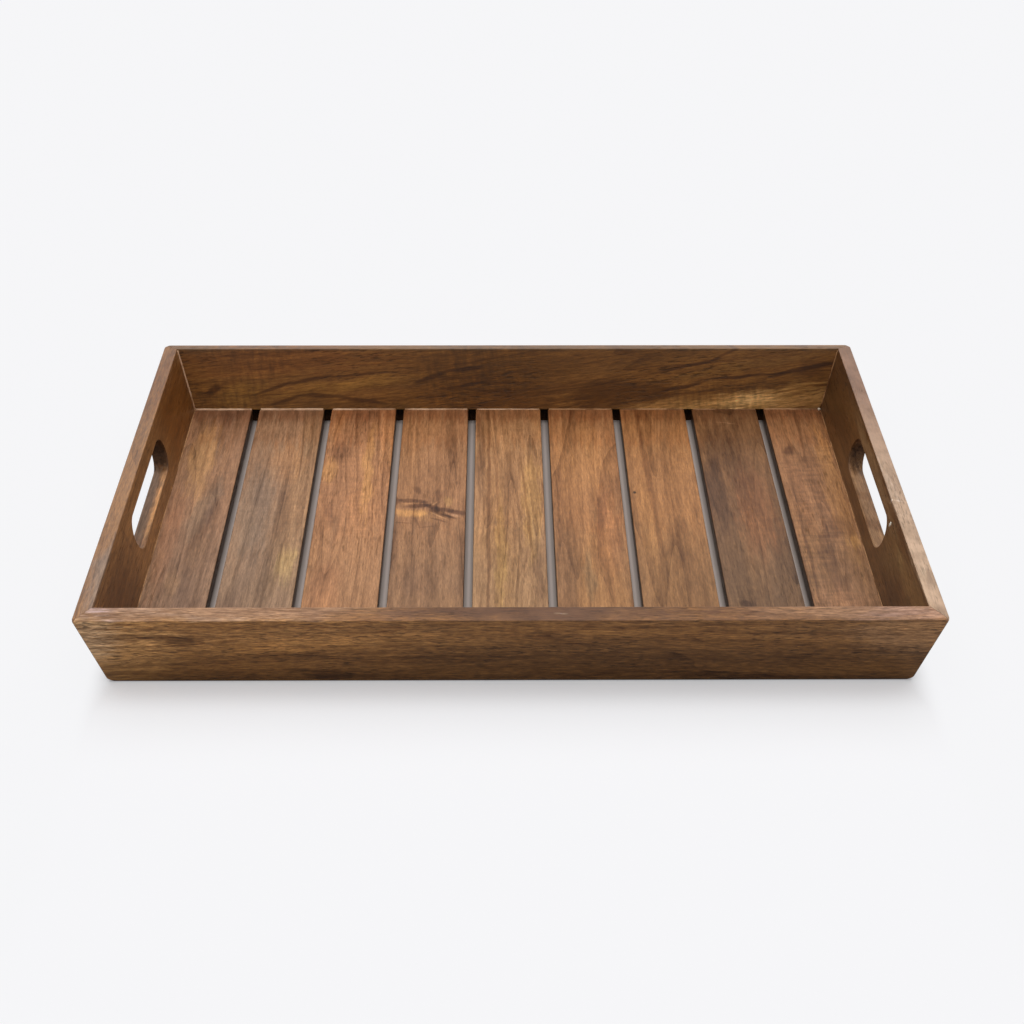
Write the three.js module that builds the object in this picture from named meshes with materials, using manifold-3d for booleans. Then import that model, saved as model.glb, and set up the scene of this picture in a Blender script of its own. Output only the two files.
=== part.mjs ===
// Slatted serving tray. Four outward-leaning boards meet in splined mitres. A rebate along their lower
// inside edge takes a floor of slats that run front to back, and brads hold each slat end from below.
// Millimetres. X runs along the tray, Y from front to back and Z up, from the table under its middle.

import * as THREE from "three";
import { mergeVertices } from "three/addons/utils/BufferGeometryUtils.js";
import Module from "manifold-3d";

// Wall boards
const RIM_LENGTH = 500; // over the outer edges of the rim, left to right
const RIM_WIDTH = 337; // over the outer edges of the rim, front to back
const BOARD_WIDTH = 55; // up the outer face, from foot to rim
const BOARD_THICKNESS = 10.5;
const LEAN_DEGREES = 13; // of every wall, away from upright
const RIM_EASING = 1.5; // rounding of the two edges along the rim
const FOOT_EASING = 1; // rounding of the two edges along the level foot
const CORNER_RADIUS = 1.5; // rounding of the four outer corners

// Rebate and floor slats
const REBATE_DEPTH = 5.5; // into the board from its inner face
const UNDERSIDE_HEIGHT = 3.3; // air between the table and the slats
const SLAT_THICKNESS = 8;
const SLAT_COUNT = 9;
const SLAT_GAP = 5.5;
const SLAT_EASING = 0.8; // rounding of the long top edges

// Hand slots in the end walls
const HAND_SLOT_LENGTH = 112;
const HAND_SLOT_HEIGHT = 22.5;
const HAND_SLOT_BELOW_RIM = 11.8; // wood left above the slot, down the board
const HAND_SLOT_EASING = 1; // chamfer round both mouths of the slot

// Blind loose tongues in the mitres
const SPLINE_WIDTH = 8; // across the mitre
const SPLINE_THICKNESS = 2.5;
const SPLINE_INSET = 4.5; // from the inside corner, along the mitre
const SPLINE_END_WOOD = 9; // wood left above and below each tongue

// Brads through the slat ends
const BRAD_LENGTH = 18;
const BRAD_DIAMETER = 1.2;
const BRAD_HEAD_DIAMETER = 2;
const BRAD_HEAD_HEIGHT = 0.6;
const BRAD_POINT = 1.5; // length of the tapered tip
const BRAD_SET = 0.5; // head sunk into the underside of the slat
const BRAD_SPREAD = 24; // between the two brads of one slat end

// Clearances
const GLUE_LINE = 0.3; // in the mitres and over the slat ends
const SLAT_FIT = 0.3; // between the slats and the upright face of the rebate
const SPLINE_FIT = 0.3;
const BRAD_FIT = 0.3;
const CUT_OVERRUN = 2; // how far a cut runs past the faces that it opens

// Facets
const EASING_STEPS = 3;
const ROUND_STEPS = 8;
const BRAD_SIDES = 8;

// Colours
const WALL_BROWN = 0x7d5a3e;
const SPLINE_PALE = 0xb08a60;
const BRAD_STEEL = 0xb4b4b0;
const SLAT_BROWNS = [
  0x8f6a50, 0x96735a, 0xa57856, 0x987052, 0xa27a58, 0xa07450, 0x976d4c, 0x7a5a44, 0x8b6447,
];
const SATIN_WOOD = 0.55;
const BARE_WOOD = 0.8;
const BRIGHT_STEEL = 0.35;

const wasm = await Module();
wasm.setup();

const lean = THREE.MathUtils.degToRad(LEAN_DEGREES);
const rise = Math.cos(lean);
const run = Math.sin(lean);
const splay = Math.tan(lean);
const footHalfLength = RIM_LENGTH / 2 - BOARD_WIDTH * run;
const footHalfWidth = RIM_WIDTH / 2 - BOARD_WIDTH * run;
const rimHeight = BOARD_WIDTH * rise + BOARD_THICKNESS * run;
const lip = BOARD_THICKNESS - REBATE_DEPTH;
const floorHeight = UNDERSIDE_HEIGHT + SLAT_THICKNESS;
const shoulderHeight = floorHeight + GLUE_LINE;

// How far outside the outer foot edge a plane lies at a height, when it is that deep behind the outer face.
function reach(height, depth) {
  return height * splay - depth / rise;
}

// A point of a wall's section, so far up the board and so deep behind its outer face.
function boardPoint(up, depth) {
  return new THREE.Vector2(up * run - depth * rise, up * rise + depth * run);
}

// A closed solid for cutting, from a geometry whose shared vertices become one.
function solid(geometry) {
  const bare = geometry.clone();
  bare.deleteAttribute("normal");
  bare.deleteAttribute("uv");
  const merged = mergeVertices(bare);
  const corners = merged.index.array;
  const triangles = [];
  for (let i = 0; i < corners.length; i += 3) {
    const [a, b, c] = corners.slice(i, i + 3);
    if (a !== b && b !== c && c !== a) {
      triangles.push(a, b, c);
    }
  }
  const vertProperties = merged.getAttribute("position").array;
  const triVerts = new Uint32Array(triangles);
  return new wasm.Manifold(new wasm.Mesh({ numProp: 3, vertProperties, triVerts }));
}

// A geometry with flat facets, from a solid.
function facets(body) {
  const mesh = body.getMesh();
  const geometry = new THREE.BufferGeometry();
  geometry.setAttribute("position", new THREE.BufferAttribute(mesh.vertProperties, 3));
  geometry.setIndex(new THREE.BufferAttribute(mesh.triVerts, 1));
  const flat = geometry.toNonIndexed();
  flat.computeVertexNormals();
  return flat;
}

// A closed outline through corners, each rounded by its own easing.
function easedOutline(corners) {
  const outline = new THREE.Shape();
  corners.forEach(({ at, easing }, i) => {
    const before = corners.at(i - 1).at;
    const after = corners[(i + 1) % corners.length].at;
    const entry = before.clone().sub(at).setLength(easing).add(at);
    const exit = after.clone().sub(at).setLength(easing).add(at);
    if (i === 0) {
      outline.moveTo(entry.x, entry.y);
    } else {
      outline.lineTo(entry.x, entry.y);
    }
    if (easing > 0) {
      outline.quadraticCurveTo(at.x, at.y, exit.x, exit.y);
    }
  });
  return outline;
}

// Section of a wall board: x outwards from the outer foot edge, y up. The rim is square to the board, and
// the foot is planed level.
function wallSection() {
  return easedOutline([
    { at: new THREE.Vector2(0, 0), easing: FOOT_EASING },
    { at: boardPoint(BOARD_WIDTH, 0), easing: RIM_EASING },
    { at: boardPoint(BOARD_WIDTH, BOARD_THICKNESS), easing: RIM_EASING },
    { at: new THREE.Vector2(reach(shoulderHeight, BOARD_THICKNESS), shoulderHeight), easing: 0 },
    { at: new THREE.Vector2(reach(shoulderHeight, lip), shoulderHeight), easing: 0 },
    { at: new THREE.Vector2(reach(0, lip), 0), easing: FOOT_EASING },
  ]);
}

// A wall board along X with its outer face towards +Y. Each line of the section runs out to the mitre, an
// upright plane at 45 degrees, so a line that lies further out is longer.
function mitredBoard(halfLength, halfWidth) {
  const setback = GLUE_LINE * Math.SQRT1_2;
  const board = new THREE.ExtrudeGeometry(wallSection(), {
    depth: 1,
    bevelEnabled: false,
    curveSegments: EASING_STEPS,
  });
  const place = board.getAttribute("position");
  for (let i = 0; i < place.count; i += 1) {
    const outward = place.getX(i);
    const end = place.getZ(i) > 0 ? 1 : -1;
    place.setXYZ(i, end * (halfLength + outward - setback), halfWidth + outward, place.getY(i));
  }
  return board;
}

// What rounds off one outer corner: the space outside an arc that meets both outer faces, leaning with them.
function cornerRound(x, y, turn) {
  const outline = new THREE.Shape();
  outline.moveTo(CUT_OVERRUN, CUT_OVERRUN);
  outline.lineTo(-CORNER_RADIUS, CUT_OVERRUN);
  outline.lineTo(-CORNER_RADIUS, 0);
  outline.absarc(-CORNER_RADIUS, -CORNER_RADIUS, CORNER_RADIUS, Math.PI / 2, 0, true);
  outline.lineTo(CUT_OVERRUN, -CORNER_RADIUS);
  const cut = new THREE.ExtrudeGeometry(outline, {
    depth: rimHeight + 2 * CUT_OVERRUN,
    bevelEnabled: false,
    curveSegments: ROUND_STEPS,
  });
  cut.translate(0, 0, -CUT_OVERRUN);
  cut.applyMatrix4(new THREE.Matrix4().makeShear(0, 0, 0, 0, splay, splay));
  cut.rotateZ(turn);
  cut.translate(x, y, 0);
  return solid(cut);
}

// The stadium-shaped hand slot of one end wall, square through the board, with a chamfer at both faces.
function handSlot(turn) {
  const outline = new THREE.Shape();
  const radius = HAND_SLOT_HEIGHT / 2;
  const straight = HAND_SLOT_LENGTH / 2 - radius;
  outline.absarc(straight, 0, radius, -Math.PI / 2, Math.PI / 2, false);
  outline.absarc(-straight, 0, radius, Math.PI / 2, (3 * Math.PI) / 2, false);
  const through = new THREE.ExtrudeGeometry(outline, {
    depth: BOARD_THICKNESS + 2 * CUT_OVERRUN,
    bevelEnabled: false,
    curveSegments: ROUND_STEPS,
  });
  through.translate(0, 0, -BOARD_THICKNESS / 2 - CUT_OVERRUN);
  const mouth = new THREE.ExtrudeGeometry(outline, {
    depth: CUT_OVERRUN,
    bevelThickness: HAND_SLOT_EASING + CUT_OVERRUN,
    bevelSize: HAND_SLOT_EASING + CUT_OVERRUN,
    bevelOffset: -CUT_OVERRUN,
    bevelSegments: 1,
    curveSegments: ROUND_STEPS,
  });
  const innerMouth = mouth.clone().translate(0, 0, BOARD_THICKNESS / 2);
  const outerMouth = mouth.translate(0, 0, -BOARD_THICKNESS / 2 - CUT_OVERRUN);
  const middle = boardPoint(BOARD_WIDTH - HAND_SLOT_BELOW_RIM - radius, BOARD_THICKNESS / 2);
  const place = new THREE.Matrix4().makeRotationZ(turn);
  place.multiply(new THREE.Matrix4().makeTranslation(0, footHalfLength + middle.x, middle.y));
  place.multiply(new THREE.Matrix4().makeRotationX(Math.PI / 2 - lean));
  const cuts = [through, innerMouth, outerMouth].map((cut) => solid(cut.applyMatrix4(place)));
  return cuts[0].add(cuts[1]).add(cuts[2]);
}

// The space between the upright faces of the rebate, less the slats' clearance, up past the floor.
function floorBed() {
  const bed = new THREE.BoxGeometry(2, 2, 2);
  const place = bed.getAttribute("position");
  for (let i = 0; i < place.count; i += 1) {
    const height = place.getZ(i) > 0 ? floorHeight + CUT_OVERRUN : UNDERSIDE_HEIGHT - CUT_OVERRUN;
    const cheek = reach(height, lip) - SLAT_FIT;
    place.setXYZ(
      i,
      place.getX(i) * (footHalfLength + cheek),
      place.getY(i) * (footHalfWidth + cheek),
      height,
    );
  }
  return solid(bed);
}

// A slat bar across the whole bed, with eased long edges on top.
function slatBar(x, width) {
  const half = width / 2;
  const outline = easedOutline([
    { at: new THREE.Vector2(-half, UNDERSIDE_HEIGHT), easing: 0 },
    { at: new THREE.Vector2(half, UNDERSIDE_HEIGHT), easing: 0 },
    { at: new THREE.Vector2(half, floorHeight), easing: SLAT_EASING },
    { at: new THREE.Vector2(-half, floorHeight), easing: SLAT_EASING },
  ]);
  const bar = new THREE.ExtrudeGeometry(outline, {
    depth: RIM_WIDTH,
    bevelEnabled: false,
    curveSegments: EASING_STEPS,
  });
  bar.rotateX(Math.PI / 2);
  bar.translate(x, RIM_WIDTH / 2, 0);
  return solid(bar);
}

// Half profile of a brad round its axis, head first, or of the hole for it when grown by a fit.
function bradProfile(fit, overrun) {
  const head = BRAD_HEAD_DIAMETER / 2 + fit;
  const shank = BRAD_DIAMETER / 2 + fit;
  return [
    new THREE.Vector2(0, -overrun),
    new THREE.Vector2(head, -overrun),
    new THREE.Vector2(head, BRAD_HEAD_HEIGHT + fit),
    new THREE.Vector2(shank, BRAD_HEAD_HEIGHT + fit),
    new THREE.Vector2(shank, BRAD_LENGTH - BRAD_POINT + fit),
    new THREE.Vector2(0, BRAD_LENGTH + fit),
  ];
}

function bradShape() {
  return facets(solid(new THREE.LatheGeometry(bradProfile(0, 0), BRAD_SIDES)));
}

function bradHole(place) {
  const hole = new THREE.LatheGeometry(bradProfile(BRAD_FIT, BRAD_SET + CUT_OVERRUN), BRAD_SIDES);
  return solid(hole.applyMatrix4(place));
}

function splineShape(fit) {
  const height = rimHeight - shoulderHeight - 2 * SPLINE_END_WOOD;
  const cornerSlant = Math.hypot(splay, splay, 1);
  return new THREE.BoxGeometry(
    SPLINE_WIDTH + 2 * fit,
    SPLINE_THICKNESS + 2 * fit,
    height * cornerSlant + 2 * fit,
  );
}

function splineSlot(place) {
  return solid(splineShape(SPLINE_FIT).applyMatrix4(place));
}

function material(color, roughness, metalness) {
  return new THREE.MeshStandardMaterial({ color, roughness, metalness });
}

function piece(name, geometry, finish) {
  const mesh = new THREE.Mesh(geometry, finish);
  mesh.name = name;
  return mesh;
}

// Loose tongues, one in each corner, lying across the mitre and leaning with the corner
const splines = new THREE.Group();
const splineMiddle = (shoulderHeight + rimHeight) / 2;
for (const [depthName, ySign] of [["front", -1], ["back", 1]]) {
  for (const [handName, xSign] of [["left", -1], ["right", 1]]) {
    const outward = new THREE.Vector3(xSign, ySign, 0).multiplyScalar(Math.SQRT1_2);
    const across = new THREE.Vector3(xSign, -ySign, 0).multiplyScalar(Math.SQRT1_2);
    const along = new THREE.Vector3(xSign * splay, ySign * splay, 1).normalize();
    const through = along.clone().cross(across);
    const inside = reach(splineMiddle, BOARD_THICKNESS);
    const tongue = piece(
      `spline_${depthName}_${handName}`,
      splineShape(0),
      material(SPLINE_PALE, BARE_WOOD, 0),
    );
    tongue.position.set(xSign * (footHalfLength + inside), ySign * (footHalfWidth + inside), splineMiddle);
    tongue.position.addScaledVector(outward, SPLINE_INSET);
    tongue.quaternion.setFromRotationMatrix(new THREE.Matrix4().makeBasis(across, through, along));
    tongue.updateMatrix();
    splines.add(tongue);
  }
}

// Brads, two at each end of each slat, driven up the middle of the rebate's shoulder along the wall board
const brads = new THREE.Group();
const bedHalfLength = footHalfLength + reach(floorHeight, lip) - SLAT_FIT;
const slatWidth = (2 * bedHalfLength - (SLAT_COUNT - 1) * SLAT_GAP) / SLAT_COUNT;
const slatPitch = slatWidth + SLAT_GAP;
const slatMiddles = [];
for (let i = 0; i < SLAT_COUNT; i += 1) {
  slatMiddles.push((i - (SLAT_COUNT - 1) / 2) * slatPitch);
}
const headHeight = UNDERSIDE_HEIGHT + BRAD_SET * rise;
const bradReach = footHalfWidth + reach(headHeight, lip + REBATE_DEPTH / 2);
slatMiddles.forEach((x, i) => {
  for (const [depthName, ySign] of [["front", -1], ["back", 1]]) {
    for (const [handName, xSign] of [["left", -1], ["right", 1]]) {
      const brad = piece(
        `brad_${i + 1}_${depthName}_${handName}`,
        bradShape(),
        material(BRAD_STEEL, BRIGHT_STEEL, 1),
      );
      brad.position.set(x + (xSign * BRAD_SPREAD) / 2, ySign * bradReach, headHeight);
      brad.rotation.x = Math.PI / 2 - ySign * lean;
      brad.updateMatrix();
      brads.add(brad);
    }
  }
});

// Walls, cut for the tongues, brads and hands, with their outer corners rounded
const walls = new THREE.Group();
const cornerRounds = [
  cornerRound(footHalfLength, footHalfWidth, 0),
  cornerRound(-footHalfLength, footHalfWidth, Math.PI / 2),
  cornerRound(-footHalfLength, -footHalfWidth, Math.PI),
  cornerRound(footHalfLength, -footHalfWidth, -Math.PI / 2),
];
const splineSlots = splines.children.map((tongue) => splineSlot(tongue.matrix));
const bradHoles = brads.children.map((brad) => bradHole(brad.matrix));
const sides = [
  { name: "wall_back", turn: 0, halfLength: footHalfLength, halfWidth: footHalfWidth, slots: [] },
  {
    name: "wall_left",
    turn: Math.PI / 2,
    halfLength: footHalfWidth,
    halfWidth: footHalfLength,
    slots: [handSlot(Math.PI / 2)],
  },
  { name: "wall_front", turn: Math.PI, halfLength: footHalfLength, halfWidth: footHalfWidth, slots: [] },
  {
    name: "wall_right",
    turn: -Math.PI / 2,
    halfLength: footHalfWidth,
    halfWidth: footHalfLength,
    slots: [handSlot(-Math.PI / 2)],
  },
];
for (const side of sides) {
  let wall = solid(mitredBoard(side.halfLength, side.halfWidth).rotateZ(side.turn));
  for (const cut of [...cornerRounds, ...splineSlots, ...bradHoles, ...side.slots]) {
    wall = wall.subtract(cut);
  }
  walls.add(piece(side.name, facets(wall), material(WALL_BROWN, SATIN_WOOD, 0)));
}

// Floor slats, with ends and outer edges cut to the lean of the rebate and holes for the brads
const slats = new THREE.Group();
const bed = floorBed();
slatMiddles.forEach((x, i) => {
  let slat = slatBar(x, slatWidth).intersect(bed);
  for (const hole of bradHoles) {
    slat = slat.subtract(hole);
  }
  const brown = SLAT_BROWNS[i % SLAT_BROWNS.length];
  slats.add(piece(`slat_${i + 1}`, facets(slat), material(brown, SATIN_WOOD, 0)));
});

const tray = new THREE.Group();
tray.add(walls, slats, splines, brads);

export default tray;
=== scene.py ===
import math

import bpy
from mathutils import Matrix, Vector


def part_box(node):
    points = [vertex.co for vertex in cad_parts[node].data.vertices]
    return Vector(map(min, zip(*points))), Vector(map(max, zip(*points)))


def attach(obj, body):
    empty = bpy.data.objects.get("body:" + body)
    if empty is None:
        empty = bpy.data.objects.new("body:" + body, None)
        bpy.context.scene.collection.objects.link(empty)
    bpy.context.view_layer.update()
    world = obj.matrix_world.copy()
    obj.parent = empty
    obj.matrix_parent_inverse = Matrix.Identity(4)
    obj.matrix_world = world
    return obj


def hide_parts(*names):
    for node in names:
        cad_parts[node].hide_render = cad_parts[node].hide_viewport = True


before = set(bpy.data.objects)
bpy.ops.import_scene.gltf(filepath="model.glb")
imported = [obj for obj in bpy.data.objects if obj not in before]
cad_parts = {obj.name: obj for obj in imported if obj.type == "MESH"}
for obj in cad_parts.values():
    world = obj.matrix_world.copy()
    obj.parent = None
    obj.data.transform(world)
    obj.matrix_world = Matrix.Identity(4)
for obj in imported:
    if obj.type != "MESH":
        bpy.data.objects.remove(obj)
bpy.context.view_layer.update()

# Wall boards: four planks of oiled dark hardwood, planed to 10.5 mm and leaning outwards. Each has a rebate
# along its lower inside edge, a level foot and mitred ends, glued at the corners. The rim and foot are
# eased with sandpaper, the outer corners are rounded, and each end wall has a routed hand slot.
mm = 0.001
rim_length = 500 * mm
rim_width = 337 * mm
board_width = 55 * mm
board_thickness = 10.5 * mm
board_lean = math.radians(13)
rebate_depth = 5.5 * mm
shoulder_height = 11.4 * mm
rim_easing = 0.6 * mm
foot_easing = 1.8 * mm
inner_foot_easing = 0.6 * mm
front_corner_radius = 1.5 * mm
back_corner_radius = 4.5 * mm
rim_tip_radius = 3.5 * mm
foot_tip_radius = 9 * mm
mitre_gap = 0.1 * mm
slot_length = 112 * mm
slot_height = 22.5 * mm
slot_below_rim = 11.8 * mm
slot_easing = 1.2 * mm
spare = 20 * mm
near = 0.01 * mm
flat_on = 0.98
rise, run, splay = math.cos(board_lean), math.sin(board_lean), math.tan(board_lean)
foot_half_length = rim_length / 2 - board_width * run
foot_half_width = rim_width / 2 - board_width * run
rim_height = board_width * rise + board_thickness * run
lean_forward = Matrix.Rotation(board_lean, 4, "X")


def reach(height, depth):
    """How far outside the foot edge a leaning plane lies at a height, so deep behind the outer face."""
    return height * splay - depth / rise


def start_mesh(add_primitive, name, **place):
    """Adds a primitive alone in the selection, with its size and place in its mesh."""
    bpy.ops.object.select_all(action="DESELECT")
    add_primitive(**place)
    bpy.ops.object.transform_apply(location=True, rotation=True, scale=True)
    piece = bpy.context.active_object
    piece.name = name
    return piece


def select_only(piece):
    bpy.ops.object.select_all(action="DESELECT")
    piece.select_set(True)
    bpy.context.view_layer.objects.active = piece


def pick(piece, kind, wanted):
    """Opens a piece for editing with the faces or edges selected whose corner points all pass the test."""
    select_only(piece)
    bpy.ops.object.mode_set(mode="EDIT")
    bpy.ops.mesh.select_mode(type=kind)
    bpy.ops.mesh.select_all(action="DESELECT")
    bpy.ops.object.mode_set(mode="OBJECT")
    points = piece.data.vertices
    for part in piece.data.edges if kind == "EDGE" else piece.data.polygons:
        part.select = wanted([points[i].co for i in part.vertices])
    bpy.ops.object.mode_set(mode="EDIT")


def saw_off(piece, point, normal):
    """Saws a piece along a plane, keeps what lies behind the plane's normal and closes the cut."""
    select_only(piece)
    bpy.ops.object.mode_set(mode="EDIT")
    bpy.ops.mesh.select_all(action="SELECT")
    bpy.ops.mesh.bisect(plane_co=point, plane_no=normal, use_fill=True, clear_outer=True)
    bpy.ops.object.mode_set(mode="OBJECT")


def round_tip(piece, tip, one_way, other_way, radius):
    """Sands the tip between two lines of an edge to a radius, in a few flats."""
    half = one_way.angle(other_way) / 2
    inward = (one_way + other_way).normalized()
    centre = tip + inward * (radius / math.sin(half))
    for share in (-0.5, 0, 0.5):
        swing = Matrix.Rotation(share * (math.pi / 2 - half), 3, one_way.cross(other_way))
        normal = swing @ -inward
        saw_off(piece, centre + normal * radius, normal)


def cut_with(piece, tool, operation="DIFFERENCE"):
    """Cuts a piece with a solid tool and merges the faces that the cut left in one plane."""
    select_only(piece)
    cut = piece.modifiers.new("cut", "BOOLEAN")
    cut.operation = operation
    cut.solver = "EXACT"
    cut.object = tool
    bpy.ops.object.modifier_apply(modifier=cut.name)
    bpy.data.objects.remove(tool)
    bpy.ops.object.mode_set(mode="EDIT")
    bpy.ops.mesh.select_all(action="SELECT")
    bpy.ops.mesh.remove_doubles(threshold=near / 5)
    bpy.ops.mesh.dissolve_limited(angle_limit=math.radians(0.2))
    bpy.ops.object.mode_set(mode="OBJECT")


gap_shade_index, slot_index = 1, 2


def other_wood(piece, index, wanted):
    """Gives the faces that pass the test another one of the piece's materials."""
    for face in piece.data.polygons:
        if wanted(face):
            face.material_index = index


def mark_faces(piece, label, wanted):
    """Marks the faces that pass the test as worn, or for painted shade, for the finish."""
    marked = piece.data.attributes.get(label) or piece.data.attributes.new(label, "FLOAT", "FACE")
    for face in piece.data.polygons:
        if wanted(face):
            marked.data[face.index].value = 1


def ease_edges(piece, width, steps, wanted):
    """Rounds the edges that pass the test."""
    pick(piece, "EDGE", wanted)
    bpy.ops.mesh.bevel(offset=width, segments=steps, affect="EDGES", clamp_overlap=False)
    bpy.ops.object.mode_set(mode="OBJECT")


def smooth_over(piece):
    """Shades the rounded edges smooth and leaves the flat faces flat."""
    select_only(piece)
    bpy.ops.object.shade_smooth_by_angle(angle=math.radians(40))
    even = piece.modifiers.new("even", "WEIGHTED_NORMAL")
    even.keep_sharp = True
    bpy.ops.object.modifier_apply(modifier=even.name)


def leaning_block(name, low, high, half_length, half_width, depth):
    """A block between two heights whose sides lean with the walls, so deep behind their outer faces."""
    at_low = (half_length + reach(low, depth), half_width + reach(low, depth))
    at_high = (half_length + reach(high, depth), half_width + reach(high, depth))
    block = start_mesh(
        bpy.ops.mesh.primitive_cube_add,
        name,
        size=1,
        location=(0, 0, (low + high) / 2),
        scale=(2 * at_low[0], 2 * at_low[1], high - low),
    )
    pick(block, "FACE", lambda corners: all(c.z > high - near for c in corners))
    growth = (at_high[0] / at_low[0], at_high[1] / at_low[1], 1)
    bpy.ops.transform.resize(value=growth, center_override=(0, 0, high))
    bpy.ops.object.mode_set(mode="OBJECT")
    return block


def slot_tool(half_width):
    """A bar with half-round edges, square to the leaning front wall, at the hand slot's place."""
    tool = start_mesh(
        bpy.ops.mesh.primitive_cube_add,
        "slot_tool",
        size=1,
        scale=(slot_length, board_thickness + 2 * spare, slot_height),
    )
    pick(tool, "EDGE", lambda ends: abs(ends[0].y - ends[1].y) > board_thickness)
    bpy.ops.mesh.bevel(offset=slot_height / 2 - near, segments=16, affect="EDGES")
    bpy.ops.object.mode_set(mode="OBJECT")
    up = board_width - slot_below_rim - slot_height / 2
    middle = Vector((0, board_thickness / 2, up))
    tool.data.transform(Matrix.Translation((0, -half_width, 0)) @ lean_forward @ Matrix.Translation(middle))
    return tool


def wall_board(name, half_length, half_width, turn, has_slot, end_radii):
    """One board, made in the place of the front wall and then turned to its own side of the tray."""
    sanded = 1 * mm
    board = start_mesh(
        bpy.ops.mesh.primitive_cube_add,
        name,
        size=1,
        location=(0, (board_thickness - sanded) / 2, (board_width - spare) / 2),
        scale=(rim_length, board_thickness + sanded, board_width + spare),
    )
    board.data.transform(Matrix.Translation((0, -half_width, 0)) @ lean_forward)
    saw_off(board, (0, 0, 0), (0, 0, -1))
    for hand in (-1, 1):
        saw_off(board, (hand * half_length, -half_width - mitre_gap, 0), (hand, 1, 0))
    outside = leaning_block("outside", -spare, rim_height + spare, half_length, half_width, 0)
    for hand, radius in zip((-1, 1), end_radii):
        pick(outside, "EDGE", lambda ends: abs(ends[0].z - ends[1].z) > rim_height and ends[0].x * hand > 0)
        bpy.ops.mesh.bevel(offset=radius, segments=8, affect="EDGES")
        bpy.ops.object.mode_set(mode="OBJECT")
    cut_with(board, outside, "INTERSECT")
    lip = board_thickness - rebate_depth
    cut_with(board, leaning_block("bed", -spare, shoulder_height, half_length, half_width, lip))

    def up_board(point):
        return point.z * rise - (point.y + half_width) * run

    def depth(point):
        return (point.y + half_width) * rise + point.z * run

    def along_board(ends):
        mitred = all(abs(e.x) + e.y > half_length - half_width - 2 * mitre_gap for e in ends)
        return not (mitred and ends[0].x * ends[1].x > 0)

    ease_edges(
        board,
        rim_easing,
        4,
        lambda ends: all(up_board(e) > board_width - near for e in ends) and along_board(ends),
    )
    ease_edges(
        board,
        inner_foot_easing,
        2,
        lambda ends: all(e.z < near and depth(e) > lip - near for e in ends) and along_board(ends),
    )
    ease_edges(
        board,
        foot_easing,
        6,
        lambda ends: all(e.z < near and depth(e) < lip / 2 for e in ends) and along_board(ends),
    )
    for hand in (-1, 1):
        up_corner = Vector((hand * splay, -splay, 1)).normalized()
        foot_tip = Vector((hand * half_length, -half_width, 0))
        round_tip(board, foot_tip, up_corner, Vector((-hand, 1, 0)).normalized(), foot_tip_radius)
        rim_tip = foot_tip + up_corner * (board_width * rise / up_corner.z)
        round_tip(board, rim_tip, -up_corner, Vector((-hand, 1, splay)).normalized(), rim_tip_radius)

    def on_foot_rounding(face):
        return face.center.z < 0.6 * foot_easing and face.normal.z > -flat_on

    def on_rim(face):
        high_up = face.center.z > rim_height / 2 and face.normal.z > 0
        return high_up and depth(face.center) < board_thickness - near

    # The foot's rounding gets painted shade: a dark line where the tray meets the table.
    mark_faces(board, "darkened", on_foot_rounding)
    mark_faces(board, "worn", on_rim)
    if has_slot:
        cut_with(board, slot_tool(half_width))
        slot_end = slot_length / 2 + near
        middle = board_width - slot_below_rim - slot_height / 2

        def at_slot(point):
            return abs(point.x) < slot_end and abs(up_board(point) - middle) < slot_height / 2 + near

        def round_slot(ends):
            inside = all(at_slot(e) for e in ends)
            faces = [min(abs(depth(e)), abs(depth(e) - board_thickness)) < near for e in ends]
            across = abs(depth(ends[0]) - depth(ends[1])) > near
            return inside and all(faces) and not across

        ease_edges(board, slot_easing, 4, round_slot)
        square_on = Vector((0, rise, run))

        def in_slot(face):
            level = abs(up_board(face.center) - middle) < slot_height / 2 + slot_easing
            between_ends = abs(face.center.x) < slot_end + slot_easing
            return level and between_ends and abs(face.normal @ square_on) < flat_on

        other_wood(board, slot_index, in_slot)

    def in_rebate(face):
        return face.center.z < shoulder_height + near and depth(face.center) > lip - near

    # The rebate faces get the dark gap wood as painted shade.
    other_wood(board, gap_shade_index, in_rebate)
    smooth_over(board)
    board.data.transform(Matrix.Rotation(turn, 4, "Z"))
    return board


sharp, soft = front_corner_radius, back_corner_radius
front_wall = wall_board("front_wall", foot_half_length, foot_half_width, 0, False, (sharp, sharp))
back_wall = wall_board("back_wall", foot_half_length, foot_half_width, math.pi, False, (soft, soft))
right_wall = wall_board("right_wall", foot_half_width, foot_half_length, math.pi / 2, True, (sharp, soft))
left_wall = wall_board("left_wall", foot_half_width, foot_half_length, -math.pi / 2, True, (soft, sharp))


def tone(red, green, blue):
    """A shader colour from the 0 to 255 levels that a colour picker shows."""
    shares = [level / 255 for level in (red, green, blue)]
    return [s / 12.92 if s <= 0.04045 else ((s + 0.055) / 1.055) ** 2.4 for s in shares] + [1]


def add(tree, kind, **settings):
    made = tree.nodes.new("ShaderNode" + kind)
    for name, value in settings.items():
        setattr(made, name, value)
    return made


def feed(tree, socket, value):
    """Wires a socket to another one, or sets its plain value."""
    if isinstance(value, bpy.types.NodeSocket):
        tree.links.new(value, socket)
    else:
        socket.default_value = value


def calc(tree, operation, *values):
    made = add(tree, "Math", operation=operation)
    for socket, value in zip(made.inputs, values):
        feed(tree, socket, value)
    return made.outputs[0]


def vector_calc(tree, operation, *values):
    made = add(tree, "VectorMath", operation=operation)
    for socket, value in zip(made.inputs, values):
        feed(tree, socket, value)
    return made.outputs[0]


def noise(tree, place, per_metre, detail=2, roughness=0.5, output="Fac"):
    """Noise with so many features in a metre each way."""
    made = add(tree, "TexNoise")
    feed(tree, made.inputs["Vector"], vector_calc(tree, "MULTIPLY", place, per_metre))
    made.inputs["Scale"].default_value = 1
    made.inputs["Detail"].default_value = detail
    made.inputs["Roughness"].default_value = roughness
    return made.outputs[output]


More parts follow.
